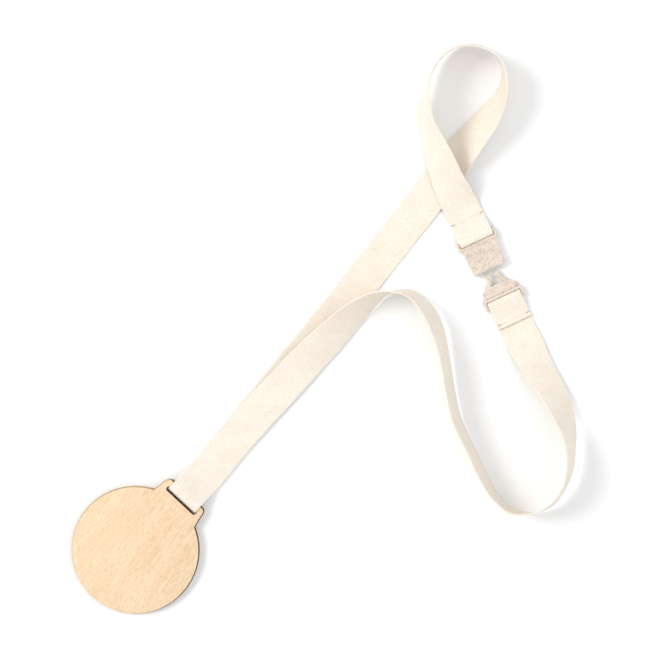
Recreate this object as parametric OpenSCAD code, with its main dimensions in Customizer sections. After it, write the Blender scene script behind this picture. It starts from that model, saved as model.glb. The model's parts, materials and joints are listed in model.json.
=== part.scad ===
// Ribbon lanyard with a plywood medal and a two-piece breakaway buckle, lying unclipped on a table.
// Units are millimetres. +Z is up, z = 0 is the table, and the origin is on the table under the
// centre of the medal's disc.

/* [Medal] */
// Diameter of the medal's disc
disc_d = 70; // [50:1:90]
// Thickness of the whole plywood medal
medal_t = 3; // [2.4:0.1:3.4]
// Thickness of each outer veneer
veneer_t = 0.6; // [0.3:0.1:0.8]
// Length of the slot for the ribbon
slot_len = 22; // [21:0.5:24]

/* [Ribbon] */
// Width of the cotton ribbon
ribbon_w = 20; // [18:0.5:20.5]
// Thickness of the cotton ribbon
ribbon_t = 1; // [0.8:0.05:1]

/* [Buckle] */
// Outer width of the strap frame on each half
frame_w = 22.9; // [22.6:0.1:24]
// Gap between the two halves as they lie
open_gap = 2.2; // [1:0.1:4]
// Thickness of the socket
socket_t = 4.3; // [4.1:0.1:4.4]
// Outer width of the socket at its mouth
mouth_w = 18.6; // [18.2:0.1:19]
// Outer width of the socket beside the strap
socket_w = 19.6; // [19:0.1:20]

/* [Hidden] */
$fn = 64;

// Colours
face_wood = "burlywood";
core_wood = "peru";
cotton = "ivory";
thread = "tan";
plastic = "wheat";

// Medal outline, in the medal's own frame: X runs from the disc's centre to the lug
disc_r = disc_d / 2;
lug_dir = 47;
lug_root = [disc_r - 3.4, 15];
lug_end = disc_r + 7.2;
lug_end_half = 13;
lug_corner_r = 2;
slot_w = 3;
bar_w = 3;
bar_x = lug_end - bar_w / 2;
slot_x = lug_end - bar_w - slot_w / 2;
medal_tilt = 1.4;

// Centre of the lug's bar once the medal is tilted, which is also the swing axis
bar_reach = (disc_r + bar_x) * cos(medal_tilt) - medal_t / 2 * sin(medal_tilt) - disc_r;
bar_z = (disc_r + bar_x) * sin(medal_tilt) + medal_t / 2 * cos(medal_tilt);

// Ribbon loop round the bar, in a frame with X along the lug
loop_in_r = bar_z - ribbon_t;
seam_x = 53;
loop_end = 56;
loop_land = 51;
loop_flat = 1.5;

// Buckle, in its own frame: X runs from the plug to the socket, and x = 0 is the plug's strap slot
buckle_dir = 115;
plug_pos = [204.1, 140.2];
buckle_z = 2.25;
bar_r = 1;
strap_bar_x = 2;
slot_half = 0.8;
side_gap = 0.3;
fold_in_r = buckle_z - ribbon_t;
fold_land = 10.5;
fold_flat = 0.5;
fold_short = 15.7;
fold_long = 18;
fold_seam = 13.2;
fold_steps = 16;
layer_gap = 0.02;
crossbar_end = 2.3;
groove_w = 0.5;
plate_end = 8.3;
plate_t = 2.2;
plate_half = 8.9;
nose_half = 5.9;
shoulder_half = 8.4;
wing_x = 5.5;
wing_half = 9.7;
wing_r = 0.9;
pad_t = 0.3;
prong_gap = 0.15;
prong_base_y = 4.7;
prong_tip_y = 2.4;
prong_tip_r = 1.4;
prong_t = 2;
prong_w = 2.2;
tip_x = 15.1;
mouth_x = tip_x + open_gap;
socket_len = 16.5;
socket_body_end = mouth_x + socket_len;
socket_slot_x = socket_body_end + slot_half;
bridge_len = 2.4;
cavity_w = 15.6;
cavity_t = 2.7;
cavity_depth = 9.3;
catch_depth = 5;
catch_len = 0.8;
catch_half = 4.3;

// Stitches
stitch_len = 1.5;
stitch_w = 0.4;
stitch_h = 0.25;
stitch_count = 9;
stitch_lean = 24;

// Routes of the two ribbon strands: X, Y and Z of the centre line, and the tilt in degrees of the
// ribbon's left edge above the level, as seen along the route. Their ends join the folded pieces.
ROUTE_SOCKET_SIDE = [
    [60, 68, 0.5, 0], [82, 95, 0.5, 0], [105, 123, 0.5, 0], [128, 152, 0.5, 0], [150, 180, 0.6, 0],
    [161, 194, 0.9, -1], [168, 204, 1.6, -5], [174, 212, 3, -12], [180, 220, 5, -25],
    [188, 230, 7, -38], [196, 240, 9, -50], [202, 251, 11, -70], [204, 261, 12, -85],
    [202, 270, 12, -92], [196, 276, 12, -97], [187, 279, 12, -98], [178, 278, 12, -96],
    [170, 273, 13, -92], [164, 264, 14, -90], [161, 254, 15, -94], [160, 243, 15, -109],
    [161, 236, 14, -114], [164, 228, 13, -122], [167, 220, 12, -134], [173, 205, 8, -150],
    [178, 195, 4, -170]];
ROUTE_PLUG_SIDE = [
    [53, 59, 1.6, 0], [68, 76, 1.8, 0], [82, 91, 2.6, 5], [95, 105, 4.5, 18], [108, 118, 6, 30],
    [121, 131, 8, 47], [131, 139, 10.5, 67], [141, 143, 11.5, 88], [152, 142, 12, 104],
    [160, 135, 12.5, 112], [166, 125, 12.5, 114], [171, 107, 12, 108], [174, 89, 11.5, 107],
    [178, 72, 11, 107], [186, 55, 10.5, 107], [193, 40, 10, 106], [199, 30, 10, 103],
    [208, 22, 11, 97], [219, 21, 13, 87], [230, 26, 14.5, 81], [237, 36, 15.5, 79],
    [240, 47, 15.5, 74], [240, 59, 15, 68], [238, 70, 13, 55], [234, 81, 10.5, 44],
    [229, 91, 7.8, 36], [223, 101, 5.2, 25], [218, 111, 2.8, 10]];
span_steps = 4;

// ---- outlines ------------------------------------------------------------------------------

// Points along an arc, both ends included
function arc(centre, r, from, to, steps) =
    [for (i = [0 : steps]) let (a = from + (to - from) * i / steps) centre + r * [cos(a), sin(a)]];
function reversed(list) = [for (i = [len(list) - 1 : -1 : 0]) list[i]];

// Side profile of a ribbon that goes round a bar at the given centre: a half turn on its -X side,
// a lower layer that lies flat, and an upper layer that comes down onto it at x = land
module fold_outline(centre, inner_r, flat, land, top_len, bottom_len) {
    top = centre.y + inner_r;
    outer = arc(centre, inner_r + ribbon_t, 270, 90, fold_steps);
    inner = arc(centre, inner_r, 90, 270, fold_steps);
    polygon(concat(
        [[bottom_len, 0]], outer,
        [[centre.x + flat, top + ribbon_t], [land, 2 * ribbon_t], [top_len, 2 * ribbon_t],
         [top_len, ribbon_t + layer_gap], [land - 0.6, ribbon_t + layer_gap],
         [centre.x + flat, top]],
        inner, [[bottom_len, ribbon_t]]));
}

// ---- placing -------------------------------------------------------------------------------

function heading(angle) = [cos(angle), sin(angle), 0];
function on_lug_line(x, z) = concat([x * cos(lug_dir), x * sin(lug_dir)], [z, 0]);
function on_buckle_line(x, z, tilt) =
    [plug_pos.x + x * cos(buckle_dir), plug_pos.y + x * sin(buckle_dir), z, tilt];

// The medal leans on the far edge of its disc, because the ribbon under the lug lifts that side
module in_medal_frame() {
    rotate([0, 0, lug_dir]) translate([-disc_r, 0, 0]) rotate([0, -medal_tilt, 0])
        translate([disc_r, 0, 0]) children();
}

module in_buckle_frame() {
    translate([plug_pos.x, plug_pos.y, buckle_z]) rotate([0, 0, buckle_dir]) children();
}

// A side profile, drawn in X and Z, made as wide as the ribbon
module across(width) {
    rotate([90, 0, 0]) linear_extrude(width, center = true) children();
}

// ---- medal ---------------------------------------------------------------------------------

// The lug's sides slope in, and each outer corner is rounded by an arc that touches both edges
module lug_outline() {
    side = [lug_end - lug_root.x, lug_end_half - lug_root.y];
    out = [-side.y, side.x] / norm(side);
    corner_x = lug_end - lug_corner_r;
    corner_y = (out * lug_root - lug_corner_r - out.x * corner_x) / out.y;
    corner = arc([corner_x, corner_y], lug_corner_r, atan2(out.y, out.x), 0, 10);
    inner = lug_root - 4 * side / norm(side);
    half = concat([[0, inner.y - 4], inner], corner);
    polygon(concat(half, reversed([for (p = half) [p.x, -p.y]])));
}

module slot_outline() {
    straight = slot_len - slot_w;
    translate([slot_x, 0]) square([slot_w, straight], center = true);
    for (side = [-1, 1]) translate([slot_x, side * straight / 2]) circle(slot_w / 2);
}

module medal_ply(bottom, thickness) {
    in_medal_frame() translate([0, 0, bottom]) linear_extrude(thickness) difference() {
        union() {
            circle(disc_r, $fn = 180);
            lug_outline();
        }
        slot_outline();
    }
}

module medal_back_veneer() {
    color(face_wood) medal_ply(0, veneer_t);
}

module medal_core() {
    color(core_wood) medal_ply(veneer_t, medal_t - 2 * veneer_t);
}

module medal_front_veneer() {
    color(face_wood) medal_ply(medal_t - veneer_t, veneer_t);
}

// ---- stitches ------------------------------------------------------------------------------

// A zigzag row of stitches across the ribbon, standing on whatever is at z = 0
module stitch_row() {
    pitch = (ribbon_w - 2) / stitch_count;
    for (i = [0 : stitch_count - 1])
        translate([0, (i - (stitch_count - 1) / 2) * pitch, stitch_h / 2])
            rotate([0, 0, 90 + (i % 2 == 0 ? stitch_lean : -stitch_lean)])
                cube([stitch_len, stitch_w, stitch_h], center = true);
}

// ---- ribbon round the medal's bar ------------------------------------------------------------

module ribbon_medal_loop() {
    color(cotton) rotate([0, 0, lug_dir]) across(ribbon_w)
        fold_outline([bar_reach, bar_z], loop_in_r, loop_flat, loop_land, loop_end, loop_end);
}

module medal_seam_stitches() {
    color(thread) rotate([0, 0, lug_dir]) translate([seam_x, 0, 2 * ribbon_t]) stitch_row();
}

// ---- free strands --------------------------------------------------------------------------

function place(p) = [p[0], p[1], p[2]];
function span(route, i) = norm(place(route[i + 1]) - place(route[i]));

// Change of place and tilt per millimetre at point i: the given headings at the ends, and the
// line between its neighbours elsewhere
function rate(route, i, from, to) =
    i == 0 ? concat(from, [0]) :
    i == len(route) - 1 ? concat(to, [0]) :
    (route[i + 1] - route[i - 1]) / (span(route, i - 1) + span(route, i));

function hermite(a, b, m, n, t) =
    (1 + 2 * t) * (1 - t) * (1 - t) * a + t * (1 - t) * (1 - t) * m
    + t * t * (3 - 2 * t) * b - t * t * (1 - t) * n;
function hermite_slope(a, b, m, n, t) =
    6 * t * (1 - t) * (b - a) + (1 - t) * (1 - 3 * t) * m + t * (3 * t - 2) * n;

// The four corners of the ribbon's section at a place p, for a tangent and a tilt
function section(p, tangent, tilt) =
    let (along = tangent / norm(tangent),
         level = [-along.y, along.x, 0] / norm([along.x, along.y]),
         side = cos(tilt) * level + sin(tilt) * cross(along, level),
         face = cross(along, side),
         w = ribbon_w / 2 * side,
         t = ribbon_t / 2 * face)
    [p + w + t, p - w + t, p - w - t, p + w - t];

function ring(route, i, t, from, to) =
    let (reach = span(route, i),
         m = rate(route, i, from, to) * reach,
         n = rate(route, i + 1, from, to) * reach,
         at = hermite(route[i], route[i + 1], m, n, t),
         tangent = hermite_slope(route[i], route[i + 1], m, n, t))
    section(place(at), place(tangent), at[3]);

module strand(route, from, to) {
    spans = len(route) - 1;
    rings = concat(
        [for (i = [0 : spans - 1]) for (k = [0 : span_steps - 1]) ring(route, i, k / span_steps, from, to)],
        [ring(route, spans - 1, 1, from, to)]);
    points = [for (r = rings) for (corner = r) corner];
    last = 4 * (len(rings) - 1);
    sides = [for (r = [0 : len(rings) - 2]) for (j = [0 : 3])
        let (a = 4 * r + j, b = 4 * r + (j + 1) % 4, c = b + 4, d = a + 4)
        for (triangle = [[a, c, b], [a, d, c]]) triangle];
    ends = [[0, 1, 2], [0, 2, 3], [last + 2, last + 1, last], [last + 3, last + 2, last]];
    polyhedron(points, concat(sides, ends));
}

module ribbon_socket_side() {
    first = on_lug_line(loop_end, ribbon_t / 2);
    last = on_buckle_line(socket_slot_x + fold_long, 1.5 * ribbon_t, -180);
    color(cotton) strand(concat([first], ROUTE_SOCKET_SIDE, [last]),
                         heading(lug_dir), heading(buckle_dir + 180));
}

module ribbon_plug_side() {
    first = on_lug_line(loop_end, 1.5 * ribbon_t);
    last = on_buckle_line(-fold_long - side_gap, ribbon_t / 2, 0);
    color(cotton) strand(concat([first], ROUTE_PLUG_SIDE, [last]),
                         heading(lug_dir), heading(buckle_dir));
}

// ---- ribbon folded round a strap bar ---------------------------------------------------------

// Side profile with x = 0 at the strap slot and the ribbon leaving towards +X
module fold_profile(top_len, bottom_len) {
    fold_outline([strap_bar_x, buckle_z], fold_in_r, fold_flat, fold_land, top_len, bottom_len);
}

module ribbon_plug_fold() {
    color(cotton) in_buckle_frame() translate([0, 0, -buckle_z]) mirror([1, 0, 0])
        across(ribbon_w) fold_profile(fold_short, fold_long);
}

module ribbon_socket_fold() {
    color(cotton) in_buckle_frame() translate([socket_slot_x, 0, -buckle_z])
        across(ribbon_w) fold_profile(fold_long, fold_short);
}

module plug_seam_stitches() {
    color(thread) in_buckle_frame() translate([-fold_seam, 0, 2 * ribbon_t - buckle_z]) stitch_row();
}

module socket_seam_stitches() {
    color(thread) in_buckle_frame() translate([socket_slot_x + fold_seam, 0, 2 * ribbon_t - buckle_z])
        stitch_row();
}

// ---- buckle --------------------------------------------------------------------------------

// Strap bar with an arm at each end, for a slot at x = 0 and the strap leaving towards +X
module strap_frame(arm_start) {
    arm_w = (frame_w - ribbon_w) / 2 - side_gap;
    arm_t = 3;
    translate([strap_bar_x, 0, 0]) rotate([90, 0, 0])
        cylinder(r = bar_r, h = frame_w - arm_w, center = true);
    for (side = [-1, 1]) translate([0, side * (frame_w - arm_w) / 2, 0]) {
        translate([arm_start, -arm_w / 2, -arm_t / 2]) cube([strap_bar_x - arm_start, arm_w, arm_t]);
        translate([strap_bar_x, 0, 0]) rotate([90, 0, 0])
            cylinder(r = arm_t / 2, h = arm_w, center = true);
    }
}

module plug_frame() {
    bar_t = 3;
    shoulder_x = wing_x + wing_r;
    pad_start = crossbar_end + groove_w;
    color(plastic) in_buckle_frame() {
        mirror([1, 0, 0]) strap_frame(-crossbar_end);
        translate([slot_half, -frame_w / 2, -bar_t / 2])
            cube([crossbar_end - slot_half, frame_w, bar_t]);
        translate([0, 0, -plate_t / 2]) linear_extrude(plate_t) {
            for (flip = [0, 1]) mirror([0, flip])
                polygon([[crossbar_end, 0], [crossbar_end, plate_half - 0.4], [pad_start, plate_half],
                         [wing_x - wing_r, plate_half - 0.2], [wing_x, wing_half - wing_r],
                         [shoulder_x, shoulder_half], [plate_end, nose_half], [plate_end, 0]]);
            for (side = [-1, 1]) translate([wing_x, side * (wing_half - wing_r)]) circle(wing_r);
        }
        translate([pad_start, -plate_half + 1, plate_t / 2])
            cube([wing_x - pad_start, 2 * plate_half - 2, pad_t]);
    }
}

// A prong leans in from its base to a round catch at its tip
module prong(side) {
    base_x = plate_end + prong_gap;
    catch_x = tip_x - prong_tip_r;
    half = prong_w / 2;
    in_buckle_frame() translate([0, 0, -prong_t / 2]) linear_extrude(prong_t) {
        polygon(concat(
            [for (y = [prong_base_y - half, prong_base_y + half]) [base_x, side * y]],
            [for (p = arc([catch_x, prong_tip_y], prong_tip_r, 150, -120, 20)) [p.x, side * p.y]]));
    }
}

module prong_left() {
    color(plastic) prong(1);
}

module prong_right() {
    color(plastic) prong(-1);
}

module socket_shell() {
    bridge_t = 3;
    body_end = socket_body_end - bridge_len;
    bridge_half = frame_w / 2 - 0.2;
    catch_start = mouth_x + catch_depth;
    catch_end = catch_start + catch_len;
    color(plastic) in_buckle_frame() {
        difference() {
            translate([0, 0, -socket_t / 2]) linear_extrude(socket_t)
                polygon([[mouth_x, -mouth_w / 2], [body_end, -socket_w / 2],
                         [body_end, socket_w / 2], [mouth_x, mouth_w / 2]]);
            for (step = [[mouth_x - 1, catch_start, cavity_w],
                         [catch_start - 0.1, catch_end, 2 * catch_half],
                         [catch_end - 0.1, mouth_x + cavity_depth, cavity_w]])
                translate([step[0], -step[2] / 2, -cavity_t / 2])
                    cube([step[1] - step[0], step[2], cavity_t]);
        }
        translate([0, 0, -bridge_t / 2]) linear_extrude(bridge_t)
            polygon([[body_end, -socket_w / 2], [body_end + bridge_len / 2, -bridge_half],
                     [socket_body_end, -bridge_half], [socket_body_end, bridge_half],
                     [body_end + bridge_len / 2, bridge_half], [body_end, socket_w / 2]]);
        translate([socket_slot_x, 0, 0]) strap_frame(-2 * slot_half);
    }
}

medal_front_veneer();
medal_core();
medal_back_veneer();
ribbon_medal_loop();
medal_seam_stitches();
ribbon_socket_side();
ribbon_plug_side();
socket_shell();
ribbon_socket_fold();
socket_seam_stitches();
plug_frame();
prong_left();
prong_right();
ribbon_plug_fold();
plug_seam_stitches();
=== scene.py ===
"""Ribbon lanyard with a plywood medal and a breakaway buckle, dressed around its CAD frame.

Lengths are in metres. The frame's origin is on the table under the centre of the medal's disc.
"""

import json
import math

import bmesh
import bpy
import numpy as np
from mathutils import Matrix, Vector


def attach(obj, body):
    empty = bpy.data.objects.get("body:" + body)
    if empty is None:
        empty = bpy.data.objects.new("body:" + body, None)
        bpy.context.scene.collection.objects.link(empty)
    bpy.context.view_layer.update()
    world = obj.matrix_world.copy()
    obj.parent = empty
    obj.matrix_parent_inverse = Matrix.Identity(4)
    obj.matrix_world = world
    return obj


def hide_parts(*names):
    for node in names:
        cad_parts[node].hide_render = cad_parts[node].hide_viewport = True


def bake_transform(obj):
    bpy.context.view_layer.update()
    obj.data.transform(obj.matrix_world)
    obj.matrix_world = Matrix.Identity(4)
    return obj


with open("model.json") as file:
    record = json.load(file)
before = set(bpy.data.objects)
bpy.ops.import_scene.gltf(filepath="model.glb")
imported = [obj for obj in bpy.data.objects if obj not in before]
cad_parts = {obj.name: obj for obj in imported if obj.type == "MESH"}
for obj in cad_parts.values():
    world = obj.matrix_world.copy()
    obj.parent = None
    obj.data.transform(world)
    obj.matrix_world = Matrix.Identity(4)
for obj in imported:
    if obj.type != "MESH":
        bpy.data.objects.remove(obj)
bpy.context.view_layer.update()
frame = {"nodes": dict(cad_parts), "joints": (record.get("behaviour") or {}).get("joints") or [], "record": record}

bl_info = {
    "name": "Ribbon lanyard",
    "version": (1, 0, 0),
    "blender": (4, 5, 0),
    "location": "View3D > Sidebar > Lanyard",
    "description": "Builds a ribbon lanyard with a wooden medal and a breakaway buckle",
    "category": "Object",
}

MM = 0.001
UP = Vector((0, 0, 1))

# ---- places taken over from the frame --------------------------------------------------------

JOINTS = {joint["name"]: joint for joint in frame["joints"]}
MOUNTS = {mount["name"]: mount for mount in frame["record"]["mounts"]}

LUG_SIDE = Vector(JOINTS["medal_swing"]["axis"])
LUG_AXIS = LUG_SIDE.cross(UP)
BAR_CENTRE = Vector(JOINTS["medal_swing"]["pos_m"])
MEDAL_BACK = Vector(MOUNTS["medal_back"]["pos_m"])
MEDAL_UP = Vector(MOUNTS["medal_front"]["axis"])
MEDAL_ALONG = LUG_SIDE.cross(MEDAL_UP)

BUCKLE_AXIS = Vector(JOINTS["plug_insert"]["axis"])
BUCKLE_SIDE = UP.cross(BUCKLE_AXIS)
# Along the buckle from the plug's strap slot: the socket's mouth, and the socket's strap slot
SOCKET_MOUTH = 17.3 * MM
SOCKET_SLOT = 34.6 * MM
MOUTH_PLACE = Vector(MOUNTS["socket_mouth"]["pos_m"])
BUCKLE_ORIGIN = (MOUTH_PLACE - BUCKLE_AXIS * SOCKET_MOUTH) * Vector((1, 1, 0))

# ---- sizes of the pieces -----------------------------------------------------------------------
# The lug, the slot and the folds repeat the CAD's sizes, apart from two: in the CAD the bends
# round the buckle's bars are centred 2 mm from the strap slot, and LOOP_LAND is 51 mm

# Height from one layer of tape to the next, where layers lie on each other
LAYER = 1 * MM

# The lug: reach past the disc, how far its root lies inside the disc, half widths, corner radius
LUG_REACH = 7.2 * MM
LUG_ROOT_INSIDE = 3.4 * MM
LUG_ROOT_HALF = 15 * MM
LUG_TIP_HALF = 13 * MM
LUG_CORNER = 2 * MM
SLOT_INSET = 4.5 * MM
SLOT_RADIUS = 1.5 * MM
SLOT_HALF = 9.5 * MM

# How many kerfs the cut walls slope: the outline's, the slot's on the disc's side, and how many
# fewer the slot's do on the bar's side
OUTLINE_KERFS = 1.7
SLOT_KERFS = 1.8
SLOT_KERFS_LOST = 1.2

# The fold round a buckle's bar, along the tape from the strap slot: the bend's centre and height,
# its radius, the flat stretch, where the layers meet, the cut end, the strand's start and the seam
FOLD_CENTRE = (1.25 * MM, 2.25 * MM)
FOLD_RADIUS = 1.75 * MM
FOLD_FLAT = 0.5 * MM
FOLD_LAND = 10.5 * MM
FOLD_CUT = 15.7 * MM
FOLD_END = 18 * MM
FOLD_SEAM = 13.2 * MM

# The loop round the lug's bar: its flat stretch, and then, from the centre of the disc, the seam,
# where the layers meet and where the strands start. The upper layer is still coming down at the
# seam, so the threads there, at SEAM_LEVEL, are inside the tape.
LOOP_FLAT = 1.5 * MM
LOOP_SEAM = 53 * MM
LOOP_LAND = 54 * MM
LOOP_END = 56 * MM

# Both: how finely the bend and the whole side view are drawn, and how often corners are eased
BEND_STEPS = 14
PATH_SPACING = 0.7 * MM
PATH_EASINGS = 3

# Zigzag seams: the stitches, the top of two flat layers of tape, and the threads' section and tips
SEAM_WIDTH = 18.6 * MM
SEAM_STITCHES = 13
SEAM_HEIGHT = 0.14 * MM
SEAM_SWING = 0.7 * MM
SEAM_LEVEL = 2 * LAYER
THREAD_SIDES = 8
ENDS_THICKER = 1.7
TIP_SHARES = {0: 0.45, 1: 0.85}

# The fused thread ends: how far in from the selvedge they start, their length, and their waviness
ENDS_INSET = 0.3 * MM
ENDS_LENGTH = 2.1 * MM
ENDS_WAVE = 0.2 * MM

# Edges that turn by more than this many degrees stay sharp
TAPE_SHARP = 50
THREAD_SHARP = 60
PLASTIC_SHARP = 40

# Corners of the moulded solids: which are welded together, and how deep a root's end face reaches
WELD = 0.001 * MM
ROOT_FACE = 0.01 * MM

# Each moulded piece: name, CAD node, body, share of the rounding, and how far its root sinks in
BUCKLE_PIECES = [
    ("buckle_socket", "socket_shell", "lanyard", 1, 0),
    ("buckle_plug", "plug_frame", "plug", 1, 0),
    ("buckle_prong_left", "prong_left", "left_prong", 1.4, 0.5 * MM),
    ("buckle_prong_right", "prong_right", "right_prong", 1.4, 0.5 * MM)]

# ---- stage ---------------------------------------------------------------------------------------

VIEW_CENTRE = (107.9 * MM, 122.0 * MM)
VIEW_REACH = 20
FLOOR_REACH = 3.0
FLOOR_DROP = 0.05 * MM
SKY_TINT = (0.985, 0.99, 1.0)

# Each sun: name, width in degrees, tint, and the direction that it shines from
SUNS = [("key", 24, (1.0, 0.985, 0.96), (-1.05, 0.28, 1.0)),
        ("back", 80, (1.0, 0.99, 0.98), (0.85, -0.25, 0.85))]
SOFTBOX_SIZE = 0.3
SOFTBOX_PLACE = (BUCKLE_ORIGIN.x, BUCKLE_ORIGIN.y + 0.08, 0.42)

# ---- routes of the free strands, in millimetres and degrees -------------------------------------
# X, Y and Z of the centre line, and the tilt of the ribbon's left edge above the level

ROUTE_SOCKET_SIDE = [
    (60, 68, 0.5, 0), (82, 95, 0.5, 0), (105, 123, 0.5, 0), (128, 152, 0.5, 0), (150, 180, 0.6, 0),
    (161, 194, 0.9, -1), (168, 204, 1.6, -5), (174, 212, 3, -12), (180, 220, 5, -25),
    (188, 230, 7, -38), (196, 240, 9, -50), (202, 251, 11, -70), (204, 261, 12, -85),
    (202, 270, 12, -92), (196, 276, 12, -97), (187, 279, 12, -98), (178, 278, 12, -96),
    (170, 273, 13, -92), (164, 264, 14, -90), (161, 254, 15, -94), (160, 243, 15, -109),
    (161, 236, 14, -114), (164, 228, 13, -122), (167, 220, 12, -134), (173, 205, 8, -150),
    (178, 195, 4, -170)]
ROUTE_PLUG_SIDE = [
    (53, 59, 1.6, 0), (68, 76, 1.8, 0), (82, 91, 2.6, 5), (95, 105, 4.5, 18), (108, 118, 6, 30),
    (121, 131, 8, 47), (131, 139, 10.5, 67), (141, 143, 11.5, 88), (152, 142, 12, 104),
    (160, 135, 12.5, 112), (166, 125, 12.5, 114), (171, 107, 12, 108), (174, 89, 11.5, 107),
    (178, 72, 11, 107), (186, 55, 10.5, 107), (193, 40, 10, 106), (199, 30, 10, 103),
    (208, 22, 11, 97), (219, 21, 13, 87), (230, 26, 14.5, 81), (237, 36, 15.5, 79),
    (240, 47, 15.5, 74), (240, 59, 15, 68), (238, 70, 13, 55), (234, 81, 10.5, 44),
    (229, 91, 7.8, 36), (223, 101, 5.2, 25), (218, 111, 2.8, 10)]

# The blend to the plug starts at this point of its route, and stations stand this many mm apart
BLEND_START = 18
STATION_STEP = 2


# ---- settings --------------------------------------------------------------------------------

def length_setting(name, description, default):
    """A length in metres, shown with its unit."""
    return bpy.props.FloatProperty(name=name, description=description, default=default,
                                   min=0, unit="LENGTH", precision=5)


def colour_setting(name, description, default):
    """A linear colour."""
    return bpy.props.FloatVectorProperty(name=name, description=description, default=default,
                                         size=3, subtype="COLOR", min=0, max=1)


def light_setting(name, description, default):
    """The strength of a light."""
    return bpy.props.FloatProperty(name=name, description=description, default=default, min=0)


class RibbonSettings(bpy.types.PropertyGroup):
    """Sizes and colours of the cotton ribbon."""

    width: length_setting("Width", "Width of the tape", 20 * MM)
    thickness: length_setting("Thickness", "Thickness of the tape", 0.94 * MM)
    yarn: length_setting("Yarn", "Distance between neighbouring yarns", 0.55 * MM)
    cream: colour_setting("Cream", "Colour of the undyed cotton", (0.905, 0.865, 0.795))
    shade: colour_setting("Shade", "Colour between the yarns", (0.745, 0.62, 0.48))
    cut: colour_setting("Cut end", "Colour of the heat-sealed cut ends", (0.55, 0.38, 0.20))
    fleck: colour_setting("Fleck", "Colour of the seed flecks", (0.42, 0.27, 0.14))


class MedalSettings(bpy.types.PropertyGroup):
    """Sizes and colours of the plywood medal."""

    disc_radius: length_setting("Disc radius", "Radius of the disc", 35 * MM)
    thickness: length_setting("Thickness", "Thickness of the whole medal", 3 * MM)
    veneer: length_setting("Veneer", "Thickness of each outer veneer", 0.6 * MM)
    rim: length_setting("Rim", "Rounding of each ply's cut edge", 0.05 * MM)
    kerf: length_setting("Kerf", "How far a cut wall slopes out from front to back", 0.32 * MM)
    pale: colour_setting("Pale wood", "Colour of the early wood", (0.86, 0.68, 0.475))
    warm: colour_setting("Warm wood", "Colour of the late wood", (0.77, 0.55, 0.335))
    vessel: colour_setting("Vessels", "Colour of the fine dark dashes", (0.62, 0.385, 0.20))
    # The char colour is laid only on cut walls facing +X, away from the key light, as painted shade; the other
    # walls get a darkened warm wood
    char: colour_setting("Char", "Colour of the laser-cut edge", (0.034, 0.015, 0.008))


class BuckleSettings(bpy.types.PropertyGroup):
    """Rounding and colours of the buckle."""

    rounding: length_setting("Rounding", "Radius of the moulded edges", 0.25 * MM)
    base: colour_setting("Base", "Colour of the straw-filled plastic", (0.72, 0.635, 0.545))
    speck: colour_setting("Speck", "Colour of the dark specks", (0.42, 0.24, 0.14))
    husk: colour_setting("Husk", "Colour of the pale husks", (0.90, 0.84, 0.74))


class ThreadSettings(bpy.types.PropertyGroup):
    """Sizes and colours of the sewing thread."""

    radius: length_setting("Radius", "Radius of the thread", 0.12 * MM)
    pale: colour_setting("Pale", "Colour of the thread", (0.88, 0.81, 0.72))
    dark: colour_setting("Dark", "Colour of the fused thread ends", (0.50, 0.32, 0.17))


class StageSettings(bpy.types.PropertyGroup):
    """Camera, floor and light."""

    eye_height: length_setting("Eye height", "Height of the camera above the table", 1.5)
    field: length_setting("Field", "Width of table that the camera sees", 366.7 * MM)
    sun: light_setting("Key light", "Strength of the key light", 1.5)
    sky: light_setting("Fill light", "Strength of the light from the whole sky", 0.79)
    back: light_setting("Back light", "Strength of the light from the right", 0.52)
    softbox: light_setting("Softbox", "Power in watts of the lamp over the loop", 0.15)
    floor: colour_setting("Floor", "Colour of the table", (0.875, 0.877, 0.88))


# ---- shader building ---------------------------------------------------------------------------

def scaled(colour, factor):
    """A colour made lighter or darker by a factor, kept within 0 to 1."""
    return [min(1.0, channel * factor) for channel in colour]


class Value:
    """A socket of a node tree; arithmetic on it adds Math nodes."""

    def __init__(self, shader, socket):
        self.shader = shader
        self.socket = socket

    def _math(self, operation, *values):
        return self.shader.node("ShaderNodeMath", list(values), operation=operation)

    def __add__(self, other):
        return self._math("ADD", self, other)

    def __radd__(self, other):
        return self._math("ADD", other, self)

    def __sub__(self, other):
        return self._math("SUBTRACT", self, other)

    def __rsub__(self, other):
        return self._math("SUBTRACT", other, self)

    def __mul__(self, other):
        return self._math("MULTIPLY", self, other)

    def __rmul__(self, other):
        return self._math("MULTIPLY", other, self)

    def __pow__(self, other):
        return self._math("POWER", self, other)

    def __abs__(self):
        return self._math("ABSOLUTE", self)

    def sine(self):
        """Sine of a value in radians."""
        return self._math("SINE", self)

    def step(self, low, high):
        """0 below low, 1 above high, and a smooth change between them."""
        limits = {"Value": self, "From Min": low, "From Max": high}
        return self.shader.node("ShaderNodeMapRange", limits, interpolation_type="SMOOTHSTEP")


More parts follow.
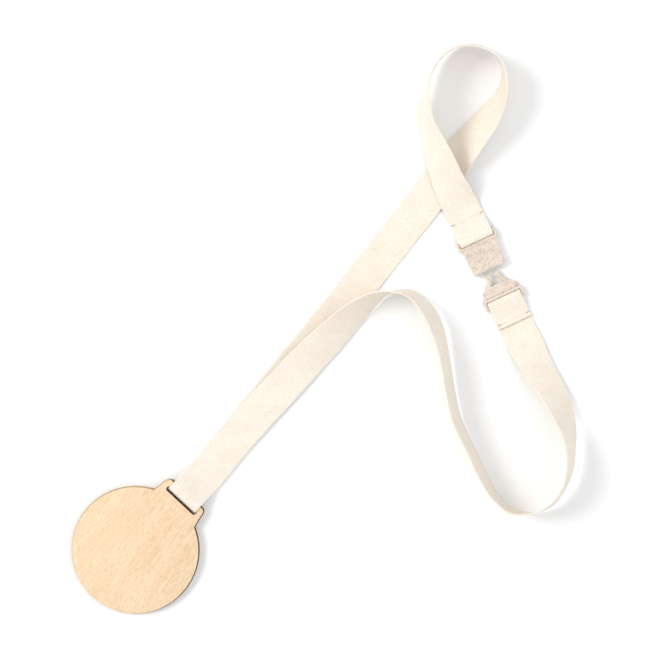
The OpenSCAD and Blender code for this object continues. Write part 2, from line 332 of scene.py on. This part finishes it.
class Shader:
    """A material with a Principled shader, and short ways to add nodes to it."""

    def __init__(self, name):
        self.material = bpy.data.materials.new(name)
        self.material.use_nodes = True
        self.tree = self.material.node_tree
        self.surface = self.tree.nodes["Principled BSDF"]

    def node(self, kind, inputs=(), output=0, **settings):
        """Adds a node, sets it up, fills its inputs with numbers or links, and gives an output."""
        node = self.tree.nodes.new(kind)
        for name, setting in settings.items():
            setattr(node, name, setting)
        pairs = inputs.items() if isinstance(inputs, dict) else enumerate(inputs)
        for key, value in pairs:
            self.feed(node.inputs[key], value)
        return Value(self, node.outputs[output])

    def feed(self, socket, value):
        """Links a Value to a socket, or sets a constant on it."""
        if isinstance(value, Value):
            self.tree.links.new(value.socket, socket)
        elif socket.type == "RGBA" and len(value) == 3:
            socket.default_value = (*value, 1)
        else:
            socket.default_value = value

    def set(self, socket, value):
        """Feeds one socket of the Principled shader."""
        self.feed(self.surface.inputs[socket], value)

    def mix(self, factor, a, b):
        """Colour a where factor is 0, and b where it is 1."""
        return self.node("ShaderNodeMix", {0: factor, 6: a, 7: b}, output=2, data_type="RGBA")

    def noise(self, place, scale, detail=2.0, roughness=0.5):
        """Fractal noise from 0 to 1."""
        return self.node("ShaderNodeTexNoise", {"Vector": place, "Scale": scale, "Detail": detail,
                                                "Roughness": roughness})

    def dots(self, place, scale):
        """Distance to the nearest of many scattered points."""
        return self.node("ShaderNodeTexVoronoi", {"Vector": place, "Scale": scale})

    def stretched(self, place, scale, turn=0.0):
        """Places turned about Z and then scaled along each axis."""
        turned = self.node("ShaderNodeVectorRotate", {"Vector": place, "Angle": turn},
                           rotation_type="Z_AXIS")
        return self.node("ShaderNodeVectorMath", {0: turned, 1: scale}, operation="MULTIPLY")

    def split(self, place):
        """The X, Y and Z of a place or a direction."""
        outputs = self.node("ShaderNodeSeparateXYZ", {"Vector": place}).socket.node.outputs
        return [Value(self, outputs[axis]) for axis in "XYZ"]

    def object_place(self):
        """The place on the object, in metres."""
        return self.node("ShaderNodeTexCoord", output="Object")

    def bump(self, height, distance, strength=1.0):
        """Lets a height move the shading normal."""
        self.set("Normal", self.node("ShaderNodeBump", {"Height": height, "Distance": distance,
                                                        "Strength": strength}))


def cotton_material(ribbon):
    """Plain-woven undyed cotton: over-and-under yarns, slubs, seed flecks and a browner band at each cut end.

    The map's U and V are millimetres round the tape and along it from the nearer cut end.
    """
    shader = Shader("cotton_tape")
    shader.set("Sheen Weight", 0.15)
    shader.set("Sheen Roughness", 0.6)
    shader.set("Subsurface Weight", 0.2)
    shader.set("Subsurface Radius", (1.0, 0.7, 0.45))
    shader.set("Subsurface Scale", 0.6 * MM)
    place = shader.node("ShaderNodeUVMap", uv_map="tape")
    across, along, _ = shader.split(place)
    yarn = ribbon.yarn / MM
    weft_yarn = yarn * 1.15
    wobble = (shader.noise(place, 0.35, 3.0) - 0.5) * 0.5
    warp_turn = (across + wobble) * (math.pi / yarn)
    weft_turn = (along + wobble) * (math.pi / weft_yarn)
    warp = abs(warp_turn.sine())
    weft = abs(weft_turn.sine())
    over = (warp_turn.sine() * weft_turn.sine()).step(-0.25, 0.25)
    weave = warp ** 0.7 * (0.55 + 0.45 * over) * 0.6 + weft ** 0.7 * (1.0 - 0.45 * over) * 0.4
    slub = shader.noise(shader.stretched(place, (2.4, 0.35, 1)), 1.0, 3.0)
    cloud = shader.noise(place, 0.09, 2.0)
    fibre = shader.noise(place, 9.0, 2.0)
    tone = shader.mix(weave.step(0.15, 0.75), ribbon.shade, ribbon.cream)
    tone = shader.mix(slub.step(0.45, 0.75) * 0.6, tone, scaled(ribbon.cream, 1.06))
    grain = shader.noise(shader.stretched(place, (0.8, 1.4, 1)), 1.0, 3.0, 0.75)
    shaded = cloud.step(0.35, 0.7) * 0.2 + grain.step(0.5, 0.62) * 0.55
    tone = shader.mix(shaded, tone, ribbon.shade)
    seeds = 1 - shader.dots(shader.stretched(place, (1.0, 0.6, 1)), 0.42).step(0.05, 0.13)
    some = shader.noise(place, 0.23, 1.0).step(0.52, 0.6)
    tone = shader.mix(seeds * some * 0.55, tone, ribbon.fleck)
    # Browner within about a millimetre of each cut end
    cut = 1 - (along + fibre * 0.5).step(0.35, 0.9)
    tone = shader.mix(cut * 0.7, tone, ribbon.cut)
    shader.set("Base Color", tone)
    shader.set("Roughness", 0.82 + 0.12 * fibre)
    shader.bump(weave + slub * 0.5 + grain * 0.8 + fibre * 0.25, 0.22 * MM, 0.7)
    return shader.material


def wood_material(medal):
    """Sanded pale beech: long grain with fine pores and dashes, and a laser-cut edge.

    The cut edge is charred, with painted shade in its colour: near-black char on the walls that face +X, away from
    the key light, and only a lighter brown on the walls that face the light.
    """
    shader = Shader("beech_plywood")
    grain_turn = -math.radians(52)
    place = shader.object_place()

    def grain(along, across, detail, roughness=0.5):
        """Noise drawn out along the grain, by how many times it changes in a metre each way."""
        drawn_out = shader.stretched(place, (along, across, along), grain_turn)
        return shader.noise(drawn_out, 1.0, detail, roughness)

    broad = grain(16, 80, 3.0, 0.55)
    streak = grain(90, 2000, 4.0, 0.65)
    dash = grain(300, 3500, 2.0)
    fine = grain(800, 5200, 2.0)
    figure = broad * 0.35 + streak * 0.65
    tone = shader.mix(figure.step(0.36, 0.64), medal.pale, medal.warm)
    tone = shader.mix(dash.step(0.5, 0.66) * 0.65, tone, medal.vessel)
    tone = shader.mix(fine.step(0.5, 0.8) * 0.35, tone, scaled(medal.pale, 1.06))
    facing_x, _, facing_z = shader.split(shader.node("ShaderNodeTexCoord", output="Normal"))
    edge = 1 - abs(facing_z).step(0.45, 0.85)
    soot = shader.noise(shader.stretched(place, (900, 900, 120)), 1.0, 3.0)
    char_and_painted_shade = shader.mix(soot.step(0.3, 0.8), medal.char, scaled(medal.char, 3.2))
    # Painted shade: cut walls facing +X, away from the key light, take the dark char, and walls facing the light a
    # lighter brown
    char_and_painted_shade = shader.mix(facing_x.step(0.1, 0.6), scaled(medal.warm, 0.62), char_and_painted_shade)
    shader.set("Base Color", shader.mix(edge, tone, char_and_painted_shade))
    shader.set("Roughness", 0.55 + 0.15 * streak + 0.3 * edge)
    shader.bump(dash * -0.6 + streak * 0.6 + fine * 0.4, 0.07 * MM, 0.6)
    return shader.material


def straw_material(buckle):
    """Moulded plastic filled with ground straw: cloudy beige with reddish specks and pale husks."""
    shader = Shader("straw_plastic")
    shader.set("Specular IOR Level", 0.4)
    shader.set("Subsurface Weight", 0.2)
    shader.set("Subsurface Radius", (1.0, 0.55, 0.3))
    shader.set("Subsurface Scale", 1.2 * MM)
    place = shader.object_place()
    cloud = shader.noise(place, 190, 3.0, 0.6)
    mottle = shader.noise(place, 950, 3.0, 0.65)
    crowd = shader.noise(place, 420, 2.0).step(0.38, 0.55)
    speck = shader.noise(place, 1500, 3.0, 0.7).step(0.53, 0.6)
    dust = 1 - shader.dots(place, 2100).step(0.10, 0.34)
    husk = 1 - shader.dots(shader.stretched(place, (1.0, 2.6, 1.6), 0.7), 420).step(0.08, 0.25)
    tone = shader.mix(cloud.step(0.35, 0.7), buckle.base, scaled(buckle.base, 0.90))
    tone = shader.mix(mottle.step(0.5, 0.72) * 0.35, tone, scaled(buckle.base, 0.78))
    tone = shader.mix(husk * 0.6, tone, buckle.husk)
    tone = shader.mix(dust * 0.3, tone, buckle.speck)
    tone = shader.mix(speck * crowd * 0.8, tone, buckle.speck)
    shader.set("Base Color", tone)
    shader.set("Roughness", 0.42 + 0.2 * mottle)
    shader.bump(mottle * 0.6 + speck * 0.4, 0.03 * MM, 0.5)
    return shader.material


def thread_material(name, colour):
    """Twisted sewing thread."""
    shader = Shader(name)
    shader.set("Sheen Weight", 0.2)
    place = shader.object_place()
    twist = shader.noise(place, 5200, 2.0)
    shader.set("Base Color", shader.mix(twist, colour, scaled(colour, 0.7)))
    shader.set("Roughness", 0.7 + 0.2 * twist)
    shader.bump(twist, 0.05 * MM, 0.6)
    return shader.material


def paper_material(stage):
    """Matt pale paper on the table, with a very faint grain."""
    shader = Shader("table_paper")
    shader.set("Specular IOR Level", 0.2)
    grain = shader.noise(shader.object_place(), 900, 3.0)
    shader.set("Base Color", shader.mix(grain * 0.02, stage.floor, (0.8, 0.8, 0.8)))
    shader.set("Roughness", 0.75 + 0.1 * grain)
    return shader.material


# ---- mesh helpers ------------------------------------------------------------------------------

def finish_mesh(name, mesh, material, smooth_degrees=35):
    """Makes an object of a mesh, shades it smooth below an angle, and links it to the scene."""
    mesh.materials.clear()
    mesh.materials.append(material)
    mesh.shade_smooth()
    piece = bpy.data.objects.new(name, mesh)
    bpy.context.scene.collection.objects.link(piece)
    mesh.set_sharp_from_angle(angle=math.radians(smooth_degrees))
    return piece


def buckle_place(along, side=0.0, height=0.0):
    """A point in the buckle's own frame, brought to the model's frame."""
    return BUCKLE_ORIGIN + BUCKLE_AXIS * along + BUCKLE_SIDE * side + UP * height


def medal_place(along, side, height):
    """A point in the medal's own frame, brought to the model's frame."""
    return MEDAL_BACK + MEDAL_ALONG * along + LUG_SIDE * side + MEDAL_UP * height


def arc(centre, radius, start, stop, steps):
    """Points along an arc, both ends included, with angles in degrees."""
    angles = np.radians(np.linspace(start, stop, steps + 1))
    return [(centre[0] + radius * math.cos(a), centre[1] + radius * math.sin(a)) for a in angles]


def spread(outline, distance):
    """A closed outline that runs anticlockwise, moved outward by a distance."""
    points = np.array(outline)
    ahead, behind = np.roll(points, -1, 0) - points, points - np.roll(points, 1, 0)
    next_normal, last_normal = [
        np.stack([edge[:, 1], -edge[:, 0]], 1) / np.linalg.norm(edge, axis=1)[:, None]
        for edge in (ahead, behind)]
    middle = next_normal + last_normal
    middle /= (middle * next_normal).sum(1)[:, None]
    return points + middle * distance


def plate_mesh(name, outer, hole, bands, place):
    """A flat plate with one hole. Each band is a height and how far its edge stands out.

    The outline's walls, and the hole's on the disc's side, slope more: the burn is thicker there.
    """
    across = np.array(hole)[:, 0]
    hole_kerfs = SLOT_KERFS - SLOT_KERFS_LOST * (across - across.min()) / np.ptp(across)
    bm = bmesh.new()
    for outline, outward in ((outer, np.full(len(outer), OUTLINE_KERFS)), (hole, -hole_kerfs)):
        rings = [[bm.verts.new((x, y, height))
                  for x, y in spread(outline, outward[:, None] * proud)]
                 for height, proud in bands]
        for lower, upper in zip(rings, rings[1:]):
            for i in range(len(lower)):
                bm.faces.new((lower[i - 1], lower[i], upper[i], upper[i - 1]))
    for height in (bands[0][0], bands[-1][0]):
        rim = [e for e in bm.edges
               if len(e.link_faces) == 1 and all(v.co.z == height for v in e.verts)]
        bmesh.ops.triangle_fill(bm, use_beauty=True, edges=rim)
    bmesh.ops.recalc_face_normals(bm, faces=bm.faces[:])
    for vert in bm.verts:
        vert.co = place(*vert.co)
    mesh = bpy.data.meshes.new(name)
    bm.to_mesh(mesh)
    bm.free()
    return mesh


# ---- ribbon geometry -----------------------------------------------------------------------------

class Station:
    """One place along the ribbon: its middle and the direction of its edge."""

    def __init__(self, middle, side):
        self.middle = Vector(middle)
        self.side = Vector(side)


def strand_stations(route, first, last, start_heading, end_heading):
    """Stations along a smooth curve through a route, with its tilt turned into edge directions.

    Each span is a cubic between two points, with the rates of change that its neighbours give.
    """
    points = np.array([first, *route, last], float)
    reach = np.linalg.norm(np.diff(points[:, :3], axis=0), axis=1)
    rates = np.zeros_like(points)
    rates[1:-1] = (points[2:] - points[:-2]) / (reach[:-1] + reach[1:])[:, None]
    rates[0, :3] = start_heading
    rates[-1, :3] = end_heading
    stations = []
    for i, span in enumerate(reach):
        here, there = points[i], points[i + 1]
        leave, arrive = rates[i] * span, rates[i + 1] * span
        count = max(2, round(span / STATION_STEP))
        stop = count + 1 if i == len(reach) - 1 else count
        for t in np.arange(stop) / count:
            at = ((1 + 2 * t) * (1 - t) ** 2 * here + t * (1 - t) ** 2 * leave
                  + t * t * (3 - 2 * t) * there - t * t * (1 - t) * arrive)
            slope = (6 * t * (1 - t) * (there - here) + (1 - t) * (1 - 3 * t) * leave
                     + t * (3 * t - 2) * arrive)
            along = Vector(slope[:3]).normalized()
            level = Vector((-along.y, along.x, 0)).normalized()
            tilt = math.radians(at[3])
            side = math.cos(tilt) * level + math.sin(tilt) * along.cross(level)
            stations.append(Station(Vector(at[:3]) * MM, side))
    return stations


def fold_path(centre, radius, flat, land, top_length, bottom_length):
    """Side view of a tape folded round a bar, from its lower end to its upper end, in metres."""
    turn = arc(centre, radius, 270, 90, BEND_STEPS)
    top = centre[1] + radius
    corners = [(bottom_length, LAYER / 2), (centre[0] + FOLD_FLAT, LAYER / 2), *turn,
               (centre[0] + flat, top), (land, 1.5 * LAYER), (top_length, 1.5 * LAYER)]
    return smoothed(resampled(corners, PATH_SPACING), PATH_EASINGS)


def resampled(points, spacing):
    """The same line with evenly spaced points."""
    points = np.array(points, float)
    run = np.concatenate([[0], np.cumsum(np.linalg.norm(np.diff(points, axis=0), axis=1))])
    count = max(2, round(run[-1] / spacing))
    wanted = np.linspace(0, run[-1], count + 1)
    return np.stack([np.interp(wanted, run, points[:, k]) for k in range(points.shape[1])], 1)


def smoothed(points, passes):
    """The same line with its corners eased; the ends stay where they are."""
    points = np.array(points)
    for _ in range(passes):
        points[1:-1] = (points[:-2] + 2 * points[1:-1] + points[2:]) / 4
    return points


def tape_section(width, thickness):
    """Outline of the tape's cut end: flat faces and rounded selvedges."""
    half, lift = width / 2, thickness / 2
    columns = np.linspace(-half + lift, half - lift, 15)
    top = [(a, lift) for a in columns]
    right = [(half - lift + lift * math.cos(t), lift * math.sin(t))
             for t in np.radians([60, 20, -20, -60])]
    bottom = [(a, -lift) for a in columns[::-1]]
    left = [(-a, -b) for a, b in right]
    return top + right + bottom + left


def selvedge_ripple(run):
    """How far the selvedges stray outwards at a run along the tape in millimetres."""
    return 0.05 * MM * math.sin(run * 0.31) + 0.04 * MM * math.sin(run * 0.79 + 1.3)


def tape_mesh(name, stations, width, thickness, run_start=0.0, run_sign=1):
    """Sweeps the tape's section along stations, and maps it by millimetres round and along it."""
    section = tape_section(width, thickness)
    count = len(section)
    round_it = np.array(section + section[:1]) / MM
    girth = np.concatenate([[0], np.cumsum(np.linalg.norm(np.diff(round_it, axis=0), axis=1))])
    middles = np.array([s.middle for s in stations])
    steps = np.linalg.norm(np.diff(middles, axis=0), axis=1)
    run = np.concatenate([[0], np.cumsum(steps)])
    mapped = (run_start + run_sign * run) / MM
    tangents = np.gradient(middles, axis=0)
    verts = []
    for i, station in enumerate(stations):
        along = Vector(tangents[i]).normalized()
        side = (station.side - along * station.side.dot(along)).normalized()
        face = along.cross(side)
        ripple = selvedge_ripple(mapped[i])
        for a, b in section:
            outward = a / width * 2
            verts.append(station.middle + side * (a + ripple * outward) + face * b)
    faces, corners = [], []
    for i in range(len(stations) - 1):
        for j in range(count):
            k = (j + 1) % count
            faces.append((i * count + j, i * count + k, (i + 1) * count + k, (i + 1) * count + j))
            corners += [(girth[j], mapped[i]), (girth[j + 1], mapped[i]),
                        (girth[j + 1], mapped[i + 1]), (girth[j], mapped[i + 1])]
    last = (len(stations) - 1) * count
    faces.append(tuple(range(count - 1, -1, -1)))
    corners += [(girth[j], mapped[0]) for j in range(count - 1, -1, -1)]
    faces.append(tuple(range(last, last + count)))
    corners += [(girth[j], mapped[-1]) for j in range(count)]
    mesh = bpy.data.meshes.new(name)
    mesh.from_pydata(verts, [], faces)
    layer = mesh.uv_layers.new(name="tape")
    layer.data.foreach_set("uv", np.array(corners, np.float32).ravel())
    mesh.validate()
    return mesh, run[-1]


def tube_mesh(name, lines, radius):
    """Round threads along several lines, closed at both ends with a narrowed tip."""
    verts, faces, sides = [], [], THREAD_SIDES
    for line in lines:
        line = np.array(line, float)
        tangents = np.gradient(line, axis=0)
        start = len(verts)
        for i, (at, tangent) in enumerate(zip(line, tangents)):
            along = Vector(tangent).normalized()
            upright = abs(along.z) > 0.9
            side = (along.orthogonal() if upright else along.cross(UP)).normalized()
            other = along.cross(side)
            from_end = min(i, len(line) - 1 - i)
            girth = radius * TIP_SHARES.get(from_end, 1.0)
            for k in range(sides):
                turn = 2 * math.pi * k / sides
                verts.append(Vector(at) + (side * math.cos(turn) + other * math.sin(turn)) * girth)
        for i in range(len(line) - 1):
            for k in range(sides):
                a = start + i * sides + k
                b = start + i * sides + (k + 1) % sides
                faces.append((a, b, b + sides, a + sides))
        faces.append(tuple(range(start + sides - 1, start - 1, -1)))
        last = start + (len(line) - 1) * sides
        faces.append(tuple(range(last, last + sides)))
    mesh = bpy.data.meshes.new(name)
    mesh.from_pydata(verts, [], faces)
    mesh.validate()
    return mesh


# ---- operators -----------------------------------------------------------------------------------

def add_lamp(name, kind, strength):
    """A lamp of one kind and strength, linked to the scene."""
    light = bpy.data.lights.new(name, kind)
    light.energy = strength
    lamp = bpy.data.objects.new(name, light)
    bpy.context.scene.collection.objects.link(lamp)
    return lamp


class LANYARD_OT_stage(bpy.types.Operator):
    """Camera straight above the table, a pale floor and soft light from the left"""

    bl_idname = "lanyard.stage"
    bl_label = "Stage"

    def execute(self, context):
        scene = context.scene
        stage = scene.lanyard_stage
        camera = bpy.data.objects.new("camera", bpy.data.cameras.new("camera"))
        camera.location = (*VIEW_CENTRE, stage.eye_height)
        camera.data.lens = camera.data.sensor_width * stage.eye_height / stage.field
        camera.data.clip_end = VIEW_REACH
        scene.collection.objects.link(camera)
        scene.camera = camera
        scene.view_settings.view_transform = "Standard"

        mesh = bpy.data.meshes.new("floor")
        mesh.from_pydata([(x * FLOOR_REACH, y * FLOOR_REACH, 0)
                          for x, y in ((-1, -1), (1, -1), (1, 1), (-1, 1))], [], [(0, 1, 2, 3)])
        floor = finish_mesh("floor", mesh, paper_material(stage))
        floor.location.z = -FLOOR_DROP

        for strength, (name, width, tint, source) in zip((stage.sun, stage.back), SUNS):
            sun = add_lamp(name, "SUN", strength)
            sun.data.angle = math.radians(width)
            sun.data.color = tint
            sun.rotation_euler = Vector(source).to_track_quat("Z", "Y").to_euler()

        softbox = add_lamp("softbox", "AREA", stage.softbox)
        softbox.data.shape = "DISK"
        softbox.data.size = SOFTBOX_SIZE
        softbox.location = SOFTBOX_PLACE
        softbox.visible_camera = False

        world = bpy.data.worlds.new("soft_sky")
        world.use_nodes = True
        background = world.node_tree.nodes["Background"]
        background.inputs["Color"].default_value = (*SKY_TINT, 1)
        background.inputs["Strength"].default_value = stage.sky
        scene.world = world
        return {"FINISHED"}


def medal_outlines(medal):
    """The disc with its tapered lug, and the slot, in the medal's own frame."""
    lug_end = medal.disc_radius + LUG_REACH
    root = Vector((medal.disc_radius - LUG_ROOT_INSIDE, LUG_ROOT_HALF))
    tip = Vector((lug_end, LUG_TIP_HALF))
    edge = (tip - root).normalized()
    out = Vector((-edge.y, edge.x))
    corner_x = lug_end - LUG_CORNER
    corner_y = (out.dot(root) - LUG_CORNER - out.x * corner_x) / out.y
    lean = math.degrees(math.atan2(out.y, out.x))
    meet = math.degrees(math.atan2(root.y, root.x))
    upper = arc((corner_x, corner_y), LUG_CORNER, 0, lean, 10)
    lower = [(x, -y) for x, y in reversed(upper)]
    disc = arc((0, 0), medal.disc_radius, meet, 360 - meet, 300)
    slot_x = lug_end - SLOT_INSET
    slot = (arc((slot_x, SLOT_HALF), SLOT_RADIUS, 0, 180, 16)
            + arc((slot_x, -SLOT_HALF), SLOT_RADIUS, 180, 360, 16))
    return [upper + disc + lower, slot]


class LANYARD_OT_medal(bpy.types.Operator):
    """Three plies of the laser-cut plywood medal"""

    bl_idname = "lanyard.medal"
    bl_label = "Medal"

    def execute(self, context):
        medal = context.scene.lanyard_medal
        wood = wood_material(medal)
        outlines = medal_outlines(medal)
        levels = [0, medal.veneer, medal.thickness - medal.veneer, medal.thickness]
        plies = ["medal_back_veneer", "medal_core", "medal_front_veneer"]
        for node, low, high in zip(plies, levels, levels[1:]):
            name = node.replace("medal", "wood")
            slopes = [medal.kerf * (1 - z / medal.thickness) for z in (low, high)]
            bands = [(low, slopes[0] - medal.rim), (low + medal.rim, slopes[0]),
                     (high - medal.rim, slopes[1]), (high, slopes[1] - medal.rim)]
            mesh = plate_mesh(name, *outlines, bands, medal_place)
            piece = finish_mesh(name, mesh, wood)
            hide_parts(node)
            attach(piece, "medal")
        return {"FINISHED"}


def socket_fold_stations():
    """The tape's cut end under the socket's strap, round the bar, to the start of the strand."""
    path = fold_path(FOLD_CENTRE, FOLD_RADIUS, FOLD_FLAT, FOLD_LAND, FOLD_END, FOLD_CUT)
    return [Station(buckle_place(SOCKET_SLOT + x, 0, z), BUCKLE_SIDE) for x, z in path]


def medal_loop_stations():
    """The tape under the lug's bar, up through the slot and back over the bar."""
    centre = (BAR_CENTRE.to_2d().length, BAR_CENTRE.z)
    path = fold_path(centre, centre[1] - LAYER / 2, LOOP_FLAT, LOOP_LAND, LOOP_END, LOOP_END)
    return [Station(LUG_AXIS * x + UP * z, LUG_SIDE) for x, z in path]


def plug_fold_stations():
    """The tape under the plug's bar, up round it, and back to its cut end on top."""
    path = fold_path(FOLD_CENTRE, FOLD_RADIUS, FOLD_FLAT, FOLD_LAND, FOLD_CUT, FOLD_END)
    return [Station(buckle_place(-x, 0, z), BUCKLE_SIDE) for x, z in path]


def in_route_units(point, tilt):
    """A point in metres and a tilt in degrees, as a row of a route."""
    return (*(Vector(point) / MM), tilt)


class LANYARD_OT_ribbon(bpy.types.Operator):
    """The cotton tape, from the socket through the medal's slot to the plug"""

    bl_idname = "lanyard.ribbon"
    bl_label = "Ribbon"

    def execute(self, context):
        ribbon = context.scene.lanyard_ribbon
        cotton = cotton_material(ribbon)
        loop_end = LUG_AXIS * LOOP_END
        lower, upper = UP * LAYER / 2, UP * 1.5 * LAYER
        socket_end = buckle_place(SOCKET_SLOT + FOLD_END) + upper
        plug_end = buckle_place(-FOLD_END) + lower
        to_socket = strand_stations(ROUTE_SOCKET_SIDE, in_route_units(loop_end + lower, 0),
                                    in_route_units(socket_end, -180), LUG_AXIS, -BUCKLE_AXIS)
        to_plug = strand_stations(ROUTE_PLUG_SIDE, in_route_units(loop_end + upper, 0),
                                  in_route_units(plug_end, 0), LUG_AXIS, BUCKLE_AXIS)
        start = Vector(ROUTE_PLUG_SIDE[BLEND_START][:3]) * MM
        bend = min(range(len(to_plug)), key=lambda i: (to_plug[i].middle - start).length)
        first = (socket_fold_stations()[:-1] + to_socket[:0:-1]
                 + medal_loop_stations()[:-1] + to_plug[:bend + 1])
        second = to_plug[bend:-1] + plug_fold_stations()

        mesh, first_length = tape_mesh("ribbon_long", first, ribbon.width, ribbon.thickness)
        long_piece = finish_mesh("ribbon_long", mesh, cotton, TAPE_SHARP)
        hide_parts("ribbon_socket_side", "ribbon_socket_fold", "ribbon_medal_loop")
        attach(long_piece, "lanyard")

        reach = sum((b.middle - a.middle).length for a, b in zip(second, second[1:]))
        mesh, second_length = tape_mesh("ribbon_plug_end", second, ribbon.width, ribbon.thickness,
                                        run_start=reach, run_sign=-1)
        plug_piece = finish_mesh("ribbon_plug_end", mesh, cotton, TAPE_SHARP)
        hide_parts("ribbon_plug_side", "ribbon_plug_fold")
        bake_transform(plug_piece)
        return {"FINISHED"}


def moulded_piece(name, node, body, rounding, root, material):
    """A copy of a moulded CAD solid with its edges rounded, and its rear end sunk in by root."""
    mesh = frame["nodes"][node].data.copy()
    mesh.name = name
    bm = bmesh.new()
    bm.from_mesh(mesh)
    bmesh.ops.remove_doubles(bm, verts=bm.verts[:], dist=WELD)
    bmesh.ops.dissolve_limit(bm, angle_limit=math.radians(1), verts=bm.verts[:], edges=bm.edges[:])
    rear = min(v.co.dot(BUCKLE_AXIS) for v in bm.verts)
    for vert in bm.verts:
        if vert.co.dot(BUCKLE_AXIS) < rear + ROOT_FACE:
            vert.co -= BUCKLE_AXIS * root
    bm.to_mesh(mesh)
    bm.free()
    piece = finish_mesh(name, mesh, material, PLASTIC_SHARP)
    round_off = piece.modifiers.new("rounding", "BEVEL")
    round_off.width = rounding
    round_off.segments = 3
    round_off.limit_method = "ANGLE"
    round_off.angle_limit = math.radians(35)
    round_off.use_clamp_overlap = True
    round_off.harden_normals = True
    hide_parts(node)
    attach(piece, body)


class LANYARD_OT_buckle(bpy.types.Operator):
    """Both halves of the breakaway buckle, with the plug's two prongs"""

    bl_idname = "lanyard.buckle"
    bl_label = "Buckle"

    def execute(self, context):
        buckle = context.scene.lanyard_buckle
        straw = straw_material(buckle)
        for name, node, body, share, root in BUCKLE_PIECES:
            moulded_piece(name, node, body, buckle.rounding * share, root, straw)
        return {"FINISHED"}


def zigzag_lines(place):
    """Zigzag stitches across the tape: each goes up out of one hole and down into the next."""
    lines = []
    for i in range(SEAM_STITCHES):
        a = -SEAM_WIDTH / 2 + SEAM_WIDTH * i / SEAM_STITCHES
        b = -SEAM_WIDTH / 2 + SEAM_WIDTH * (i + 1) / SEAM_STITCHES
        first, last = (SEAM_SWING, -SEAM_SWING) if i % 2 == 0 else (-SEAM_SWING, SEAM_SWING)
        line = []
        for t in np.linspace(0, 1, 7):
            rise = SEAM_HEIGHT * (math.sin(math.pi * t) ** 0.5 - 0.6)
            line.append(place(first + (last - first) * t, a + (b - a) * t, rise))
        lines.append(line)
    return lines


def thread_end_lines(place, half):
    """The fused thread ends, one lying wavily inwards from each selvedge of a seam."""
    lines = []
    for side in (-1, 1):
        line = []
        for t in np.linspace(0, 1, 9):
            wave = ENDS_WAVE * math.sin(7 * t + side)
            across = side * (half - ENDS_INSET - ENDS_LENGTH * t)
            rise = (0.08 - 0.5 * (t - 0.45) ** 2) * MM
            line.append(place(wave, across, rise))
        lines.append(line)
    return lines


class LANYARD_OT_stitches(bpy.types.Operator):
    """The three seams, one above the medal and one behind each half of the buckle"""

    bl_idname = "lanyard.stitches"
    bl_label = "Stitches"

    def execute(self, context):
        thread = context.scene.lanyard_thread
        pale = thread_material("thread_pale", thread.pale)
        dark = thread_material("thread_ends", thread.dark)
        half = context.scene.lanyard_ribbon.width / 2
        seams = [
            ("thread_medal_seam", "medal_seam_stitches", "lanyard",
             lambda x, y, z: LUG_AXIS * (LOOP_SEAM + x) + LUG_SIDE * y + UP * (SEAM_LEVEL + z)),
            ("thread_socket_seam", "socket_seam_stitches", "lanyard",
             lambda x, y, z: buckle_place(SOCKET_SLOT + FOLD_SEAM + x, y, SEAM_LEVEL + z)),
            ("thread_plug_seam", "plug_seam_stitches", "plug",
             lambda x, y, z: buckle_place(-FOLD_SEAM + x, y, SEAM_LEVEL + z))]
        for name, node, body, place in seams:
            mesh = tube_mesh(name, zigzag_lines(place), thread.radius)
            piece = finish_mesh(name, mesh, pale, THREAD_SHARP)
            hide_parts(node)
            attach(piece, body)
            ends_name = name + "_ends"
            ends = thread_end_lines(place, half)
            mesh = tube_mesh(ends_name, ends, thread.radius * ENDS_THICKER)
            tails = finish_mesh(ends_name, mesh, dark, THREAD_SHARP)
            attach(tails, body)
        return {"FINISHED"}


class LANYARD_PT_panel(bpy.types.Panel):
    """Buttons that build the lanyard, in order"""

    bl_label = "Lanyard"
    bl_idname = "LANYARD_PT_panel"
    bl_space_type = "VIEW_3D"
    bl_region_type = "UI"
    bl_category = "Lanyard"

    def draw(self, context):
        for operator in OPERATORS:
            self.layout.operator(operator.bl_idname)
        for name, group in SETTINGS.items():
            box = self.layout.box()
            for setting in group.__annotations__:
                box.prop(getattr(context.scene, name), setting)


SETTINGS = {
    "lanyard_ribbon": RibbonSettings,
    "lanyard_medal": MedalSettings,
    "lanyard_buckle": BuckleSettings,
    "lanyard_thread": ThreadSettings,
    "lanyard_stage": StageSettings,
}
OPERATORS = [LANYARD_OT_stage, LANYARD_OT_medal, LANYARD_OT_ribbon, LANYARD_OT_buckle,
             LANYARD_OT_stitches]


def register():
    """Registers the classes and hangs the settings on the scene."""
    for cls in [*SETTINGS.values(), *OPERATORS, LANYARD_PT_panel]:
        bpy.utils.register_class(cls)
    for name, cls in SETTINGS.items():
        setattr(bpy.types.Scene, name, bpy.props.PointerProperty(type=cls))


def unregister():
    """Takes the settings and the classes away again."""
    for name in SETTINGS:
        delattr(bpy.types.Scene, name)
    for cls in reversed([*SETTINGS.values(), *OPERATORS, LANYARD_PT_panel]):
        bpy.utils.unregister_class(cls)


def main():
    """Builds the whole lanyard."""
    register()
    bpy.ops.lanyard.stage()
    bpy.ops.lanyard.medal()
    bpy.ops.lanyard.ribbon()
    bpy.ops.lanyard.buckle()
    bpy.ops.lanyard.stitches()


if __name__ == "__main__":
    main()
